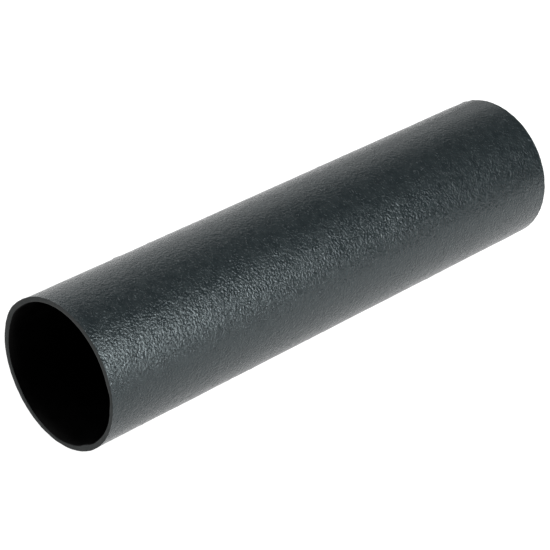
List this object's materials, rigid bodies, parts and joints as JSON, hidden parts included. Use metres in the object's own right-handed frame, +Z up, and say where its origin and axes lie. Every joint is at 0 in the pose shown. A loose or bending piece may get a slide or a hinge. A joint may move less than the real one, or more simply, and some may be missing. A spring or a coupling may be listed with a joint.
{
  "type": "round downpipe",
  "caption": "Short plain-ended length of round rainwater downpipe, thin-walled and open at both ends, in black plastic finished to look like cast iron.",
  "frame": {"origin": "on the floor, straight below the middle of the pipe's length", "axes": "+X along the pipe's own axis, +Z up with the pipe lying on its side, +Y across it"},
  "size_m": [0.271, 0.068, 0.068],
  "materials": {
    "pipe_plastic": "satin"
  },
  "bodies": {
    "root": {"downpipe": "pipe_plastic"}
  },
  "joints": []
}
